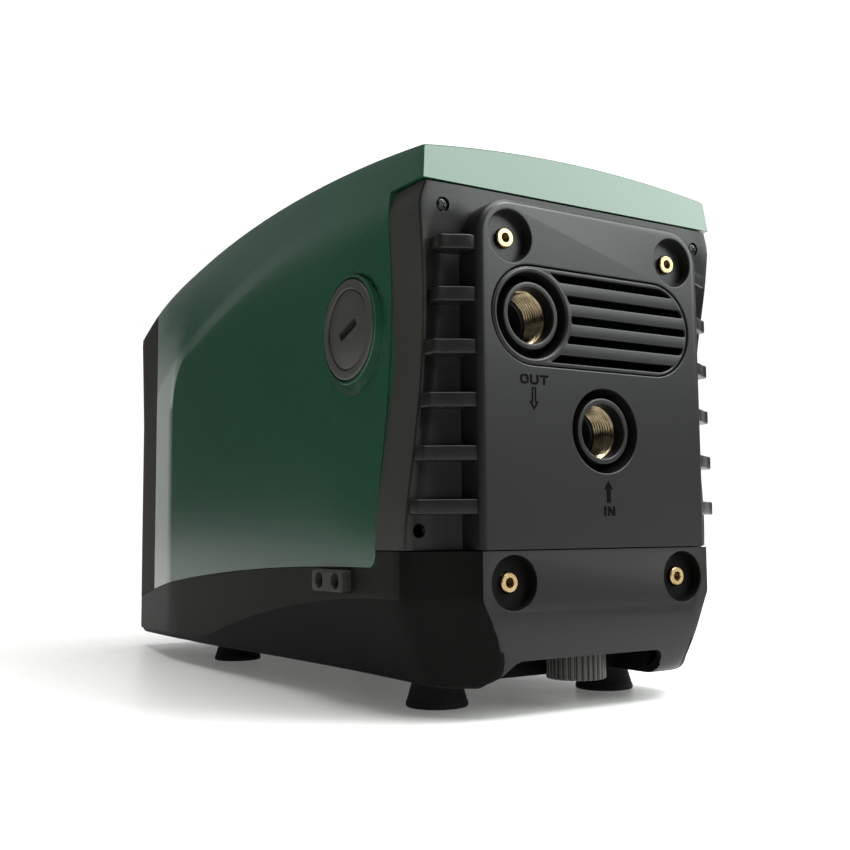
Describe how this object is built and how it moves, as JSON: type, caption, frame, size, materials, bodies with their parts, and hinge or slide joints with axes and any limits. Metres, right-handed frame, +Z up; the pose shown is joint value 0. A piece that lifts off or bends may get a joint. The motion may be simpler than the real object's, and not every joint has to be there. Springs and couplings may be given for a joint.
{
  "type": "water pressure booster pump",
  "caption": "Compact electronic water booster pump in a green and black plastic housing, with two threaded ports on its end, vent slots, a filling cap, a drain plug and rubber feet.",
  "frame": {"origin": "on the floor, below the middle of the body", "axes": "+Z up, +Y towards the port end along the body, +X towards the side with the filling cap"},
  "size_m": [0.2524, 0.565, 0.3514],
  "materials": {
    "green_plastic": "dark green satin moulded plastic",
    "black_plastic": "black fine-textured satin plastic",
    "grey_plastic": "grey satin moulded plastic",
    "rubber": "matt black rubber",
    "brass": "bright turned brass",
    "nickel": "warm nickel plate, machined thread",
    "steel": "ground steel",
    "dark_steel": "dark coated steel",
    "aluminium": "die-cast aluminium",
    "copper": "enamelled copper wire",
    "glass": "dark clear display window",
    "board": "green circuit board"
  },
  "bodies": {
    "root": {"accessory_bay": "black_plastic", "air_valve": "brass", "base_tray": "black_plastic", "bearing_front": "steel", "bearing_rear": "steel", "cable_gland": "black_plastic", "diffuser_1": "grey_plastic", "diffuser_2": "grey_plastic", "discharge_manifold": "black_plastic", "display_board": "board", "display_window": "glass", "door_pin": "steel", "drain_neck": "black_plastic", "foot_front_left": "rubber", "foot_front_right": "rubber", "foot_rear_left": "rubber", "foot_rear_right": "rubber", "front_panel": "black_plastic", "heat_sink": "aluminium", "inlet_port": "black_plastic", "inlet_thread": "nickel", "interface_panel": "grey_plastic", "inverter_board": "board", "motor_can": "aluminium", "motor_flange": "aluminium", "outlet_port": "black_plastic", "outlet_thread": "nickel", "panel_screw_left": "dark_steel", "panel_screw_right": "dark_steel", "pressure_sensor": "brass", "pressure_vessel": "dark_steel", "pump_casing": "black_plastic", "rear_panel": "black_plastic", "side_socket": "black_plastic", "stator_core": "steel", "suction_cover": "black_plastic", "top_cover": "green_plastic", "vent_grille": "black_plastic", "vessel_bladder": "rubber", "wall_insert_lower_left": "brass", "wall_insert_lower_right": "brass", "wall_insert_upper_left": "brass", "wall_insert_upper_right": "brass", "winding_front": "copper", "winding_rear": "copper"},
    "rotor": {"motor_shaft": "steel", "rotor_core": "steel", "shaft_seal": "rubber", "impeller_1": "grey_plastic", "impeller_2": "grey_plastic"},
    "check_valve": {"check_valve_poppet": "grey_plastic"},
    "down_key": {"key_down": "black_plastic"},
    "up_key": {"key_up": "black_plastic"},
    "menu_key": {"key_menu": "black_plastic"},
    "set_key": {"key_set": "black_plastic"},
    "front_door": {"compartment_door": "black_plastic"},
    "fill_seal": {"fill_gasket": "rubber"},
    "fill_plug": {"fill_cap": "black_plastic"},
    "drain_seal": {"drain_gasket": "rubber"},
    "drain_cap": {"drain_plug": "black_plastic"}
  },
  "joints": [
    {"name": "rotor_spin", "type": "hinge", "parent": "root", "child": "rotor", "pos_m": [-0.005, 0, 0.132], "axis": [0, 1, 0], "continuous": true},
    {"name": "check_valve_travel", "type": "slide", "parent": "root", "child": "check_valve", "axis": [0, 1, 0], "range_m": [0, 0.008], "stiffness_N_per_m": 60, "springref_m": -0.004},
    {"name": "down_key_press", "type": "slide", "parent": "root", "child": "down_key", "axis": [0, 1, 0], "range_m": [0, 0.0012], "stiffness_N_per_m": 500, "springref_m": -0.0005},
    {"name": "up_key_press", "type": "slide", "parent": "root", "child": "up_key", "axis": [0, 1, 0], "range_m": [0, 0.0012], "stiffness_N_per_m": 500, "springref_m": -0.0005},
    {"name": "menu_key_press", "type": "slide", "parent": "root", "child": "menu_key", "axis": [0, 1, 0], "range_m": [0, 0.0012], "stiffness_N_per_m": 500, "springref_m": -0.0005},
    {"name": "set_key_press", "type": "slide", "parent": "root", "child": "set_key", "axis": [0, 1, 0], "range_m": [0, 0.0012], "stiffness_N_per_m": 500, "springref_m": -0.0005},
    {"name": "front_door_swing", "type": "hinge", "parent": "root", "child": "front_door", "pos_m": [-0.07, -0.28075, 0.12], "axis": [0, 0, -1], "range_deg": [0, 95]},
    {"name": "fill_cap_lift", "type": "slide", "parent": "root", "child": "fill_seal", "axis": [1, 0, 0], "range_m": [0, 0.0091]},
    {"name": "fill_cap_turn", "type": "hinge", "parent": "fill_seal", "child": "fill_plug", "pos_m": [0.12, 0.1815, 0.2359], "axis": [1, 0, 0], "range_deg": [0, 1080]},
    {"name": "drain_plug_drop", "type": "slide", "parent": "root", "child": "drain_seal", "axis": [0, 0, -1], "range_m": [0, 0.0091]},
    {"name": "drain_plug_turn", "type": "hinge", "parent": "drain_seal", "child": "drain_cap", "pos_m": [-0.002, 0.253, 0.03], "axis": [0, 0, -1], "range_deg": [0, 1080]}
  ],
  "couplings": [
    {"joint": "fill_cap_lift", "follows": "fill_cap_turn", "m_per_rad": 0.00047746},
    {"joint": "drain_plug_drop", "follows": "drain_plug_turn", "m_per_rad": 0.00047746}
  ]
}
